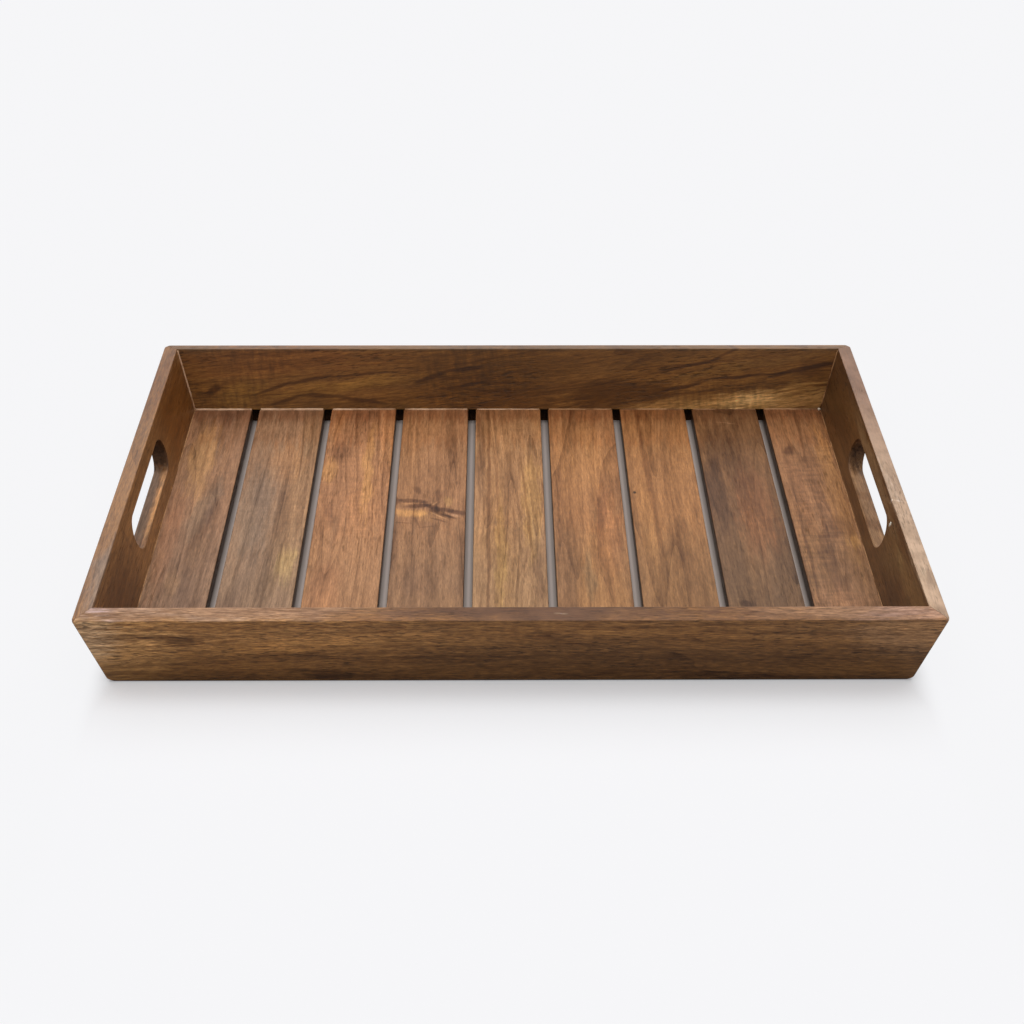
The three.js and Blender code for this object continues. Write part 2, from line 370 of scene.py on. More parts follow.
def fade(tree, value, start, end):
    """A soft step from 0 at start to 1 at end."""
    made = add(tree, "MapRange", interpolation_type="SMOOTHSTEP")
    feed(tree, made.inputs["Value"], value)
    feed(tree, made.inputs["From Min"], start)
    feed(tree, made.inputs["From Max"], end)
    return made.outputs["Result"]


def tint(tree, share, colour, other, how="MIX"):
    made = add(tree, "Mix", data_type="RGBA", blend_type=how)
    feed(tree, made.inputs[0], share)
    feed(tree, made.inputs[6], colour)
    feed(tree, made.inputs[7], other)
    return made.outputs[2]


def effect(name, inputs, outputs):
    """An empty shader node group with named sockets, and its input and output nodes."""
    tree = bpy.data.node_groups.new(name, "ShaderNodeTree")
    for label, kind in inputs:
        tree.interface.new_socket(label, in_out="INPUT", socket_type="NodeSocket" + kind)
    for label, kind in outputs:
        tree.interface.new_socket(label, in_out="OUTPUT", socket_type="NodeSocket" + kind)
    return tree, tree.nodes.new("NodeGroupInput").outputs, tree.nodes.new("NodeGroupOutput").inputs


def place_effect(tree, group, **values):
    made = tree.nodes.new("ShaderNodeGroup")
    made.node_tree = group
    for label, value in values.items():
        feed(tree, made.inputs[label.replace("_", " ")], value)
    return made.outputs


# Grain lies along Y in these two effects, and Vector is in metres.
figure, given, result = effect(
    "plank figure",
    [("Vector", "Vector"), ("Base", "Color"), ("Fleck", "Color"), ("Curl", "Float"), ("Fineness", "Float")],
    [("Color", "Color")],
)
sway = noise(figure, given["Vector"], (8, 2.4, 8), 2, 0.5, "Color")
sway = vector_calc(figure, "SUBTRACT", sway, (0.5, 0.5, 0.5))
sway = vector_calc(figure, "MULTIPLY", sway, (0.03, 0, 0.03))
swayed = vector_calc(figure, "ADD", given["Vector"], sway)
zones = fade(figure, noise(figure, swayed, (40, 2.6, 40)), 0.32, 0.68)
streaks = fade(figure, noise(figure, swayed, (190, 5, 190), 3, 0.6), 0.3, 0.7)
fine = vector_calc(figure, "SCALE", swayed)
feed(figure, fine.node.inputs["Scale"], given["Fineness"])
lines = fade(figure, noise(figure, fine, (540, 55, 540), 3, 0.65), 0.34, 0.66)
strands = fade(figure, noise(figure, swayed, (430, 9, 430), 2, 0.6), 0.34, 0.66)
rings = calc(figure, "FRACT", calc(figure, "MULTIPLY", noise(figure, swayed, (15, 0.8, 15), 2), 16))
rings = calc(figure, "SUBTRACT", 1, calc(figure, "POWER", rings, 6))
paleness = calc(figure, "MULTIPLY_ADD", streaks, 0.25, calc(figure, "MULTIPLY", zones, 0.2))
paleness = calc(figure, "MULTIPLY_ADD", rings, 0.28, calc(figure, "ADD", paleness, 0.08))
paleness = calc(figure, "MULTIPLY_ADD", calc(figure, "SUBTRACT", strands, 0.5), 0.17, paleness)
contrast = calc(figure, "MULTIPLY", given["Fineness"], 0.27)
paleness = calc(figure, "MULTIPLY_ADD", calc(figure, "SUBTRACT", lines, 0.5), contrast, paleness)
darker = tint(figure, 1, given["Base"], (0.36, 0.3, 0.24, 1), "MULTIPLY")
paler = tint(figure, 1, given["Base"], given["Fleck"], "MULTIPLY")
coloured = tint(figure, paleness, darker, paler)
golden = fade(figure, noise(figure, swayed, (34, 5, 34), 3), 0.48, 0.66)
coloured = tint(figure, calc(figure, "MULTIPLY", golden, 0.4), coloured, (1.14, 1.1, 0.88, 1), "MULTIPLY")
dusky = vector_calc(figure, "ADD", swayed, (3.1, 5.3, 2.7))
dusky = fade(figure, noise(figure, dusky, (42, 7, 42), 3), 0.5, 0.68)
coloured = tint(figure, calc(figure, "MULTIPLY", dusky, 0.6), coloured, (0.78, 0.8, 0.88, 1), "MULTIPLY")
ripple = calc(figure, "SUBTRACT", noise(figure, given["Vector"], (90, 300, 90), 2), 0.5)
rippled = fade(figure, noise(figure, given["Vector"], (18, 12, 18), 1), 0.42, 0.65)
ripple = calc(figure, "MULTIPLY", calc(figure, "MULTIPLY", ripple, rippled), given["Curl"])
shine = vector_calc(figure, "SCALE", coloured)
feed(figure, shine.node.inputs["Scale"], calc(figure, "ADD", ripple, 1))
feed(figure, result["Color"], shine)

fibre, given, result = effect(
    "plank fibre",
    [("Vector", "Vector"), ("Color", "Color"), ("Pores", "Float"), ("Fineness", "Float")],
    [("Color", "Color"), ("Roughness", "Float"), ("Height", "Float")],
)
threads = noise(fibre, given["Vector"], (1500, 180, 1500), 3, 0.7)
fine = vector_calc(fibre, "SCALE", given["Vector"])
feed(fibre, fine.node.inputs["Scale"], given["Fineness"])
pores = fade(fibre, noise(fibre, fine, (640, 85, 640), 2), 0.54, 0.66)
porous = fade(fibre, noise(fibre, given["Vector"], (40, 16, 40), 2), 0.35, 0.62)
pores = calc(fibre, "MULTIPLY", calc(fibre, "MULTIPLY", pores, porous), given["Pores"])
contrast = calc(fibre, "MULTIPLY", given["Fineness"], 1.4)
crisp = calc(fibre, "MULTIPLY", calc(fibre, "SUBTRACT", threads, 0.46), contrast)
shade = calc(fibre, "ADD", crisp, 1)
shade = calc(fibre, "MULTIPLY", shade, calc(fibre, "MULTIPLY_ADD", pores, -0.45, 1))
shaded = vector_calc(fibre, "SCALE", given["Color"])
feed(fibre, shaded.node.inputs["Scale"], shade)
feed(fibre, result["Color"], shaded)
rough = calc(fibre, "MULTIPLY_ADD", threads, 0.2, 0.28)
feed(fibre, result["Roughness"], calc(fibre, "MULTIPLY_ADD", pores, 0.2, rough))
feed(fibre, result["Height"], calc(fibre, "MULTIPLY_ADD", pores, -1, calc(fibre, "MULTIPLY", threads, 0.5)))

# A patch round a place in the XY plane of Vector, full at its middle and gone past its edge.
patch, given, result = effect(
    "soft patch",
    [
        ("Vector", "Vector"),
        ("Centre", "Vector"),
        ("Size", "Vector"),
        ("Turn", "Float"),
        ("Feather", "Float"),
    ],
    [("Mask", "Float")],
)
turned = add(patch, "VectorRotate", rotation_type="Z_AXIS")
feed(patch, turned.inputs["Vector"], vector_calc(patch, "SUBTRACT", given["Vector"], given["Centre"]))
feed(patch, turned.inputs["Angle"], calc(patch, "MULTIPLY", given["Turn"], -1))
away = add(patch, "VectorMath", operation="LENGTH")
feed(patch, away.inputs[0], vector_calc(patch, "DIVIDE", turned.outputs[0], given["Size"]))
edge = calc(patch, "ADD", away.outputs["Value"], given["Feather"])
feed(patch, result["Mask"], fade(patch, edge, 1.35, 0.5))


slat_fleck = (1.55, 1.64, 1.75, 1)
bare_wood = tone(205, 165, 130)


def plank_finish(
    name,
    base,
    grain_along,
    face,
    seed,
    marks=(),
    tilt=0,
    curl=0.3,
    pores=1,
    gloss=0.5,
    fineness=1,
    fleck=slat_fleck,
    rim=(bare_wood, bare_wood),
    wear=0,
):
    """Oiled hardwood, rubbed towards the rim's two end colours where it is worn.

    The marks are patches of the face, in mm and degrees, each with a strength and a stain.
    """
    made = bpy.data.materials.new(name)
    made.use_nodes = True
    tree = made.node_tree
    finish = tree.nodes["Principled BSDF"]
    finish.inputs["Specular IOR Level"].default_value = gloss
    place = add(tree, "TexCoord").outputs["Object"]
    along = add(tree, "Mapping")
    feed(tree, along.inputs["Vector"], place)
    level = math.pi / 2 if grain_along == "X" else 0
    along.inputs["Rotation"].default_value = (0, tilt, level)
    along.inputs["Location"].default_value = (seed * 0.37, seed * 0.71, seed * 0.53)
    grain = along.outputs["Vector"]
    split = add(tree, "SeparateXYZ")
    feed(tree, split.inputs[0], place)
    flat = add(tree, "CombineXYZ")
    for axis, socket in zip(face, flat.inputs):
        feed(tree, socket, split.outputs[axis])
    straight = flat.outputs[0]
    wander = noise(tree, straight, (45, 45, 45), 2, 0.5, "Color")
    wander = vector_calc(tree, "SUBTRACT", wander, (0.5, 0.5, 0.5))
    little, far = (3 * mm, 3 * mm, 0), (9 * mm, 9 * mm, 0)
    waved = vector_calc(tree, "ADD", straight, vector_calc(tree, "MULTIPLY", wander, little))
    wandered = vector_calc(tree, "ADD", straight, vector_calc(tree, "MULTIPLY", wander, far))
    feather = calc(tree, "SUBTRACT", noise(tree, grain, (420, 40, 420), 3, 0.65), 0.5)
    colour = place_effect(
        tree, figure, Vector=grain, Base=base, Fleck=fleck, Curl=curl, Fineness=fineness
    )["Color"]
    for x, y, half_x, half_y, turn, strength, stain in marks:
        tiny = max(half_x, half_y) < 3
        thin = min(half_x, half_y) < 3
        mask = place_effect(
            tree,
            patch,
            Vector=straight if tiny else waved if thin else wandered,
            Centre=(x * mm, y * mm, 0),
            Size=(half_x * mm, half_y * mm, 1),
            Turn=math.radians(turn),
            Feather=calc(tree, "MULTIPLY", feather, 0.8 if tiny else 1.2 if thin else 1.8),
        )["Mask"]
        colour = tint(tree, calc(tree, "MULTIPLY", mask, strength), colour, (*stain, 1), "MULTIPLY")
    worn = add(tree, "Attribute", attribute_name="worn").outputs["Fac"]
    open_pores = calc(tree, "MULTIPLY_ADD", worn, -0.45 * pores, pores)
    surface = place_effect(tree, fibre, Vector=grain, Color=colour, Pores=open_pores, Fineness=fineness)
    rubbed = fade(tree, noise(tree, place, (45, 45, 45), 3, 0.6), 0.3, 0.7)
    rubbed = calc(tree, "MULTIPLY", worn, calc(tree, "MULTIPLY_ADD", rubbed, 0.5 * wear, 0.4 * wear))
    bare = tint(tree, fade(tree, split.outputs[grain_along], -60 * mm, 120 * mm), *rim)
    grained = vector_calc(tree, "SCALE", bare)
    feed(tree, grained.node.inputs["Scale"], calc(tree, "MULTIPLY_ADD", surface["Height"], 0.8, 0.85))
    colour = tint(tree, rubbed, surface["Color"], grained)
    # The marked faces of the foot's rounding are darkened as painted shade.
    darkened = add(tree, "Attribute", attribute_name="darkened").outputs["Fac"]
    feed(tree, finish.inputs["Base Color"], tint(tree, darkened, colour, (0.4, 0.34, 0.3, 1), "MULTIPLY"))
    feed(tree, finish.inputs["Roughness"], surface["Roughness"])
    relief = add(tree, "Bump")
    relief.inputs["Strength"].default_value = 0.4
    relief.inputs["Distance"].default_value = 0.15 * mm
    feed(tree, relief.inputs["Height"], surface["Height"])
    feed(tree, finish.inputs["Normal"], relief.outputs["Normal"])
    return made


wall_fleck = (1.6, 1.9, 3.2, 1)
wall_fineness = 1.35
dusk = (0.62, 0.58, 0.58)
long_face, end_face, top_face = "XZ", "YZ", "XY"


def wall_finish(side, base, grain_along, face, seed, marks, **more):
    """The wood of one wall, with a finer figure and paler flecks than the slats have."""
    more = {"fineness": wall_fineness, "fleck": wall_fleck, **more}
    return plank_finish(side + " wall wood", base, grain_along, face, seed, marks, **more)


front_marks = [
    # Painted shade darkens the front wall towards the foot, and painted light makes it paler towards the
    # rim.
    (0, 4, 2000, 22, 0, 1, (0.74, 0.72, 0.68)),
    (0, 50, 2000, 14, 0, 1, (1.22, 1.22, 1.25)),
    # Painted sheen on the rounded left end of the front wall.
    (-245, 30, 50, 40, 0, 1, (1.6, 1.8, 2.2)),
    (-246, 42, 20, 24, 0, 0.9, (1.35, 1.65, 2.7)),
    # Painted highlight with wear along the rim's outer edge.
    (-176, 53.8, 30, 0.8, 0, 0.9, (1.5, 1.7, 2.1)),
    (-120, 53.8, 26, 0.6, 0, 0.5, (1.5, 1.7, 2.1)),
    (-140, 45, 100, 17, 0, 1, (1.5, 1.55, 1.6)),
    (-145, 22, 105, 14, 0, 1, (1.3, 1.3, 1.3)),
    (-170, 56, 90, 2.6, 0, 1, (1.1, 1.36, 2.8)),
    (10, 56, 85, 2.6, 0, 1, (0.28, 0.24, 0.26)),
    (212, 56, 78, 2.6, 0, 1, (1.2, 1.42, 2.7)),
    # Painted sheen near the top of the right end.
    (226, 42, 30, 18, 0, 0.7, (1.3, 1.5, 2.4)),
    (236, 56, 16, 2.6, 0, 0.8, (1.5, 1.5, 1.5)),
    (120, 26, 110, 16, 0, 0.9, (0.84, 0.82, 0.82)),
    (-108, 6, 12, 4, 0, 0.9, (0.5, 0.44, 0.42)),
    (26.2, 54.85, 2.2, 0.14, 0, 1, (4.5, 8.5, 20)),
    (30.2, 54.75, 2, 0.14, 0, 1, (4.5, 8.5, 20)),
]
back_marks = [
    (0, 57, 2000, 2.8, 0, 1, (0.7, 0.76, 0.88)),
    (-175, 48, 75, 13, 2, 0.8, (1.12, 0.98, 0.95)),
    (-195, 22, 20, 9, 10, 0.7, (1.2, 1.3, 1.1)),
    (-130, 27, 42, 4.5, 9, 1, (1.35, 1.43, 1.35)),
    (-92, 33, 45, 4.5, 4, 1, (1.35, 1.43, 1.4)),
    (-110, 13, 60, 4, 0, 1, (0.72, 0.72, 0.72)),
    (-172, 26.5, 17, 1.3, 19, 1, (0.42, 0.36, 0.3)),
    (-144, 33, 15, 1.3, 13, 1, (0.42, 0.36, 0.3)),
    (-108, 37.5, 28, 0.9, 4, 0.9, (0.5, 0.44, 0.38)),
    (-162, 18.5, 13, 1.5, 16, 1, (0.42, 0.36, 0.3)),
    (-138, 21.5, 16, 1.8, 0, 1, (0.38, 0.32, 0.26)),
    (-105, 18, 17, 1.5, -7, 1, (0.42, 0.36, 0.3)),
    (-216, 25.5, 8, 3.1, 28, 1, (0.36, 0.3, 0.26)),
    (-55, 35, 12, 1.8, 18, 1, (0.4, 0.34, 0.28)),
    (-32, 41, 16, 1.7, 8, 1, (0.4, 0.34, 0.28)),
    (-36, 28, 26, 1.2, 9, 0.9, (0.48, 0.42, 0.36)),
    (0, 31, 24, 1.2, 2, 0.8, (0.5, 0.44, 0.4)),
    (-10, 16, 55, 9, 0, 0.9, (0.72, 0.66, 0.6)),
    (-12, 34, 60, 24, 0, 1, (0.7, 0.66, 0.54)),
    (55, 48, 90, 16, 0, 0.7, (0.84, 0.84, 0.78)),
    (78, 23, 40, 10, 4, 1, (0.4, 0.34, 0.22)),
    (132, 44, 30, 1.3, 12, 1, (0.42, 0.36, 0.32)),
    (158, 52, 12, 1.2, 24, 0.9, (0.5, 0.44, 0.4)),
    (165, 42, 50, 3.4, 9, 0.8, (1.12, 1.2, 1.25)),
    (128, 28, 18, 1.4, 14, 1, (0.34, 0.28, 0.22)),
    (168, 35.5, 30, 1.2, 5, 1, (0.36, 0.3, 0.24)),
    (216, 41, 30, 1.8, 12, 1, (0.32, 0.27, 0.24)),
    (224, 41, 12, 6, 14, 0.7, (0.6, 0.52, 0.52)),
    (185, 30, 50, 2.6, 7, 0.7, (0.8, 0.78, 0.74)),
    (142, 14.5, 54, 7, 7, 1, (2.2, 2.6, 3.4)),
    (205, 20, 50, 9.5, 8, 1, (1.9, 2.25, 2.8)),
]
right_marks = [
    (-95, 57, 90, 2.8, 0, 1, (2.7, 3.8, 6.6)),
    (-125, 20, 40, 14, 0, 0.9, (0.66, 0.62, 0.58)),
    (-125, 46, 38, 9, 0, 0.9, (1.6, 1.9, 2.2)),
    (-75, 38, 26, 14, 0, 0.8, (1.35, 1.6, 1.8)),
    (5, 50, 65, 6, 0, 1, (1.7, 2.2, 3.2)),
    (120, 32, 50, 30, 0, 0.8, (0.74, 0.68, 0.6)),
    (-45, 55, 1, 2.8, 15, 1, (2, 2.4, 3)),
]
left_marks = [
    (-130, 57, 45, 2.8, 0, 1, (1, 1.4, 2.8)),
    (-120, 25, 50, 30, 0, 1, (0.52, 0.45, 0.38)),
    (-35, 46, 40, 10, 0, 0.6, (1.2, 1.2, 1.2)),
    (60, 20, 40, 12, 0, 0.6, (0.82, 0.78, 0.72)),
    (110, 32, 60, 30, 0, 1, (0.66, 0.51, 0.28)),
    (-70, 44, 2.5, 14, 8, 0.6, dusk),
]
front_rim = (tone(126, 90, 66), tone(118, 83, 60))
right_rim = (tone(219, 184, 154), tone(160, 121, 97))
left_rim = (tone(178, 146, 124), tone(172, 138, 113))
wall_finishes = {
    "front": wall_finish(
        "front", tone(121, 76, 27), "X", long_face, 1, front_marks,
        fineness=1.75, curl=0.4, pores=1.3, wear=0.6, rim=front_rim,
    ),
    "back": wall_finish(
        "back", tone(122, 77, 28), "X", long_face, 2, back_marks,
        tilt=math.radians(6), curl=1.5, pores=1.5, wear=0.03,
    ),
    "right": wall_finish("right", tone(90, 56, 22), "Y", end_face, 3, right_marks, wear=0.8, rim=right_rim),
    "left": wall_finish(
        "left", tone(127, 82, 36), "Y", end_face, 4, left_marks, pores=0.7, wear=0.1, rim=left_rim
    ),
}
# The sides of the slats and the rebates, in the gaps out of the light, get a dark wood as painted shade.
gap_shade_wood = plank_finish("gap side shade wood", tone(62, 40, 24), "Y", top_face, 6, gloss=0.1)


def slot_finish(side, base, seed, marks):
    name = side + " slot wood"
    return plank_finish(name, base, "Y", end_face, seed, marks, curl=1, pores=0.6, gloss=0.15)


slot_woods = {
    "right": slot_finish("right", tone(148, 110, 76), 7, [
        # The first two marks are painted shade at the slot's back end.
        (56, 33, 12, 24, 0, 1, (0.42, 0.39, 0.37)),
        (44, 33, 6, 20, 0, 0.6, dusk),
        (-20, 21, 7, 3, 0, 0.7, (0.6, 0.5, 0.42)),
        (14, 21, 5, 3, 0, 0.6, (0.65, 0.55, 0.45)),
    ]),
    "left": slot_finish("left", tone(122, 93, 72), 8, [
        # Painted highlight along the slot's lower edge.
        (4, 22.7, 44, 1.2, 0, 1, (3, 2.6, 1.9)),
        (-45, 20, 12, 3, 0, 0.6, (1.2, 1.05, 0.95)),
        # Painted shade at the slot's back end.
        (56, 33, 13, 24, 0, 1, (0.32, 0.25, 0.17)),
    ]),
}
for side, wall in zip(("front", "back", "right", "left"), (front_wall, back_wall, right_wall, left_wall)):
    for wood in (wall_finishes[side], gap_shade_wood, slot_woods.get(side)):
        if wood:
            wall.data.materials.append(wood)
    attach(wall, "root")
    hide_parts("wall_" + side)

# Corner tongues: loose splines of bare pale hardwood, glued blind into the mitres, so only a cut would show
# them. Their plain sawn shape comes from the frame, and they get their own wood.
spline_wood = plank_finish("spline wood", tone(176, 138, 96), "X", long_face, 5, tilt=math.pi / 2, curl=0.1)
for node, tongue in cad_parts.items():
    if node.startswith("spline_"):
        tongue.material_slots[0].material = spline_wood

# Floor slats: nine thin boards that run front to back, each from another plank, so no two match in
# colour. Their ends sit up under the shoulder of the rebate, cut to the lean of the walls, and their
# long top edges are eased. Four set holes in the underside take the brads.
slat_count = 9
middle_number = 5
seeds_before_slats = 10
slat_easing = 0.8 * mm
slat_fit = 0.15 * mm
brad_spread = 24 * mm
brad_set = 0.5 * mm
brad_head = 2 * mm
brad_head_height = 0.6 * mm
slat_low, slat_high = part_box("slat_5")
slat_size = slat_high - slat_low
slat_pitch = (slat_high.x + slat_low.x) / 2 - sum(c.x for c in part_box("slat_4")) / 2
lip = board_thickness - rebate_depth
head_height = slat_low.z + brad_set * rise
brad_reach = foot_half_width + reach(head_height, lip + rebate_depth / 2)


def loose_copy(piece, name):
    """A copy of a finished piece with a mesh of its own."""
    select_only(piece)
    bpy.ops.object.duplicate()
    copied = bpy.context.active_object
    copied.name = name
    return copied


def brad_place(x, front_or_back):
    """Where a brad's head sits and how its shank leans, for one end of a slat."""
    seat = Matrix.Translation((x, front_or_back * brad_reach, head_height))
    return seat @ Matrix.Rotation(-front_or_back * board_lean, 4, "X")


middle_slat = start_mesh(
    bpy.ops.mesh.primitive_cube_add,
    "floor_slat_5",
    size=1,
    location=(0, 0, (slat_low.z + slat_high.z) / 2),
    scale=(slat_size.x, slat_size.y + spare, slat_size.z),
)
for front_or_back in (-1, 1):
    cheek = Vector((0, front_or_back * (foot_half_width + reach(0, lip) - slat_fit), 0))
    saw_off(middle_slat, cheek, (0, front_or_back * rise, -run))


def long_top_edge(ends):
    return all(e.z > slat_high.z - near for e in ends) and abs(ends[0].y - ends[1].y) > slat_size.x


ease_edges(middle_slat, slat_easing, 3, long_top_edge)
for front_or_back in (-1, 1):
    for hand in (-1, 1):
        set_hole = start_mesh(
            bpy.ops.mesh.primitive_cylinder_add,
            "set_hole",
            vertices=20,
            radius=brad_head / 2 + slat_fit,
            depth=2 * (brad_set + brad_head_height),
        )
        set_hole.data.transform(brad_place(hand * brad_spread / 2, front_or_back))
        cut_with(middle_slat, set_hole)
slats = []
for number in range(1, slat_count + 1):
    slat = middle_slat
    if number != middle_number:
        slat = loose_copy(middle_slat, f"floor_slat_{number}")
        slat.data.transform(Matrix.Translation(((number - middle_number) * slat_pitch, 0, 0)))
    slats.append(slat)
for slat, hand in ((slats[0], -1), (slats[-1], 1)):
    cheek = Vector((hand * (foot_half_length + reach(0, lip) - slat_fit), 0, 0))
    saw_off(slat, cheek, (hand * rise, 0, -run))
# Along all the slats, painted shade and light: darker by the back wall, paler in the middle and duller
# towards the front.
painted_slat_light = [
    (0, 152, 2000, 22, 0, 1, (0.74, 0.62, 0.56)),
    (0, 122, 2000, 26, 0, 1, (0.94, 0.86, 0.8)),
    (0, 45, 2000, 62, 0, 1, (1.13, 1.07, 1.02)),
    (0, -105, 2000, 62, 0, 1, (0.9, 0.93, 0.96)),
]
gold = (1.28, 1.34, 1.05)
red = (1.1, 0.9, 0.82)
grey = (0.8, 0.9, 1.02)
dark = (0.42, 0.36, 0.34)
slat_woods = {
    1: (tone(134, 99, 73), 0.4, 0.6, [
        (-215, 82, 10, 48, 0, 0.9, (1.35, 1.35, 1.05)),
        (-204, 13, 7, 37, -10, 0.9, grey),
        (-202, -10, 4, 30, -10, 0.7, dusk),
        (-222, -30, 6, 70, 0, 0.6, (1.15, 1, 0.92)),
        (-212, -72, 5, 14, 0, 0.8, (1.25, 1.25, 1.15)),
    ]),
    2: (tone(137, 104, 77), 0.4, 0.5, [
        (-169, 15, 14, 52, 0, 0.9, grey),
        (-143, -52, 6.5, 20, 0, 1, (1.45, 1.55, 1.3)),
        (-175, -105, 12, 25, 0, 0.6, dusk),
        (-155, 75, 12, 28, 0, 0.8, (1.25, 1.15, 1)),
        (-150, 5, 4, 40, 2, 0.6, dusk),
    ]),
    3: (tone(159, 112, 75), 0.4, 0.85, [
        (-119, 89, 8.5, 11, 0, 0.8, dusk),
        (-125, 63, 5, 18, 0, 0.7, gold),
        (-120, 5, 3.5, 15, 0, 0.7, dusk),
        (-117, -80, 11, 30, 0, 0.35, red),
        (-97, 70, 4, 60, 0, 0.7, gold),
        (-104, 20, 6, 40, 0, 0.5, (0.86, 0.84, 0.84)),
    ]),
    4: (tone(145, 104, 71), 0.5, 0.5, [
        (-66, 10, 14, 4.6, 2, 1, (1.6, 1.64, 1.35)),
        (-55, 5, 9, 5, -32, 0.5, (1.35, 1.4, 1.2)),
        (-75, 25, 3.2, 5, 0, 0.9, (0.55, 0.5, 0.5)),
        (-66, 24, 11, 2.6, -8, 0.9, dark),
        (-61, 18, 10, 2.5, 6, 1, dark),
        (-67, 21, 5, 0.9, 0, 0.8, (1.25, 1.25, 1.2)),
        (-53, 17, 5.5, 2.4, -25, 1, dark),
        (-49, 13, 4.6, 3.6, -40, 1, (0.5, 0.43, 0.38)),
        (-45, 8, 9, 2.7, -42, 1, (0.52, 0.47, 0.4)),
        (-47, 5.4, 8, 0.8, -42, 0.9, (1.5, 1.6, 1.6)),
        (-40, 4.4, 6, 1.3, -30, 0.9, dark),
        (-42, 12.4, 8, 2.7, -12, 0.9, dark),
        (-34, 9.5, 8, 2.8, -14, 0.9, (0.46, 0.4, 0.42)),
        (-37, 6, 5, 1.6, -25, 0.9, (1.4, 1.5, 1.7)),
        (-51, 19.5, 3, 0.8, 50, 0.9, (1.5, 1.6, 1.6)),
        (-48, 20.5, 3.2, 1, 55, 0.5, dark),
        (-57, 22, 2.6, 1.2, 0, 0.8, dark),
        (-46.5, -0.2, 6, 1, -30, 0.7, dark),
        (-62, 1, 9, 0.9, 108, 0.5, dark),
        (-71, -3.1, 6, 0.9, 0, 0.5, dark),
        (-54, -7.5, 6, 0.9, 8, 0.4, dark),
        (-62, 37, 2.6, 5, 20, 0.6, dark),
        (-47.5, 31, 2.2, 8, 0, 0.7, dark),
        (-40.5, 22.5, 3.2, 6, 0, 0.7, (1.35, 1.5, 1.3)),
        (-35, 46.5, 2, 2.5, 0, 0.5, dark),
        (-74.5, -29.5, 2.5, 30, 0, 0.6, dusk),
        (-60, -70, 16, 18, 0, 0.7, (0.84, 0.82, 0.84)),
    ]),
    5: (tone(155, 114, 77), 0.4, 0.5, [
        (-13.7, 0, 1.3, 150, 0, 1, (0.6, 0.54, 0.5)),
        (-8, 40, 1, 90, 1, 0.8, (0.66, 0.6, 0.56)),
        (12, 10, 1, 70, 3, 0.8, (0.62, 0.56, 0.5)),
        (-20, 90, 3, 50, 0, 0.7, dusk),
        (-6, -40, 4, 60, 0, 0.7, gold),
        (15, 23, 7, 60, 0, 0.8, gold),
        (18, -60, 3, 40, 2, 0.7, dusk),
        (2, 60, 5, 40, 0, 0.5, (0.82, 0.8, 0.8)),
    ]),
    6: (tone(148, 103, 65), 0.4, 0.35, [
        (50, 75, 18, 45, 0, 0.4, (1.22, 1.26, 1.15)),
        (64, -20, 9, 60, 0, 0.6, (1.03, 0.92, 0.88)),
        (51, -67, 3.5, 30, 0, 0.8, grey),
        (62, 10, 3, 50, -4, 0.7, dusk),
        (44, -20, 5, 50, 0, 0.5, (0.84, 0.82, 0.8)),
    ]),
    7: (tone(145, 101, 62), 0.4, 0.3, [
        (96.2, 47, 2.2, 95, 1.6, 0.75, (0.55, 0.48, 0.44)),
        (85.3, 34, 1.1, 1.7, 0, 1, (0.12, 0.12, 0.12)),
        (94, 120, 2.4, 30, 1.6, 0.5, (0.55, 0.48, 0.44)),
        (92, 5, 7, 45, 0, 0.7, (1.2, 1.22, 1.15)),
        (115, -40, 6, 50, 0, 0.6, (0.82, 0.8, 0.8)),
    ]),
    8: (tone(110, 78, 51), 0.4, 0.6, [
        (141, 33, 7.5, 50, 0, 1, (0.58, 0.56, 0.58)),
        (165, 8, 13, 58, 0, 0.6, red),
        (146, -95, 5, 4, 0, 0.9, dark),
        (158, 127.5, 8, 0.5, -12, 0.7, (2, 2.2, 2.6)),
        (160, -35, 10, 50, 0, 1, (1.6, 1.6, 1.54)),
        (148, 90, 13, 36, 0, 1, (0.66, 0.62, 0.58)),
    ]),
    9: (tone(131, 92, 61), 1.1, 0.85, [
        (205, -110, 20, 35, 0, 0.8, (1.24, 1.2, 1.25)),
        (208, -20, 9, 2.6, 0, 0.7, dusk),
        (206, -38, 8, 2, 0, 0.6, dusk),
        (187, 20, 1, 110, 1, 0.8, dusk),
        (193, -40, 1.1, 80, -1, 0.8, dusk),
        (222, 33, 7, 83, 0, 0.7, (1.4, 1.42, 1.15)),
        (217, -8, 10, 12, 0, 0.8, dusk),
        (198, 87, 3.3, 6.7, 0, 0.8, dark),
        (226, -28, 5, 9, 0, 0.9, (1.5, 1.55, 1.35)),
        (205, -50, 5, 40, 0, 0.7, dusk),
        (198, 40, 5, 60, 0, 0.6, dusk),
    ]),
}


def on_slat_side(face):
    return abs(face.normal.z) < 0.3


for number, slat in enumerate(slats, 1):
    # The slat sides get the dark gap wood as painted shade.
    other_wood(slat, gap_shade_index, on_slat_side)
    smooth_over(slat)
    base, curl, pores, marks = slat_woods[number]
    marks = painted_slat_light + marks
    name = f"slat {number} wood"
    seed = seeds_before_slats + number
    slat_wood = plank_finish(name, base, "Y", top_face, seed, marks, curl=curl, pores=pores, gloss=0.3)
    slat.data.materials.append(slat_wood)
    slat.data.materials.append(gap_shade_wood)
    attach(slat, "root")
    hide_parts(f"slat_{number}")

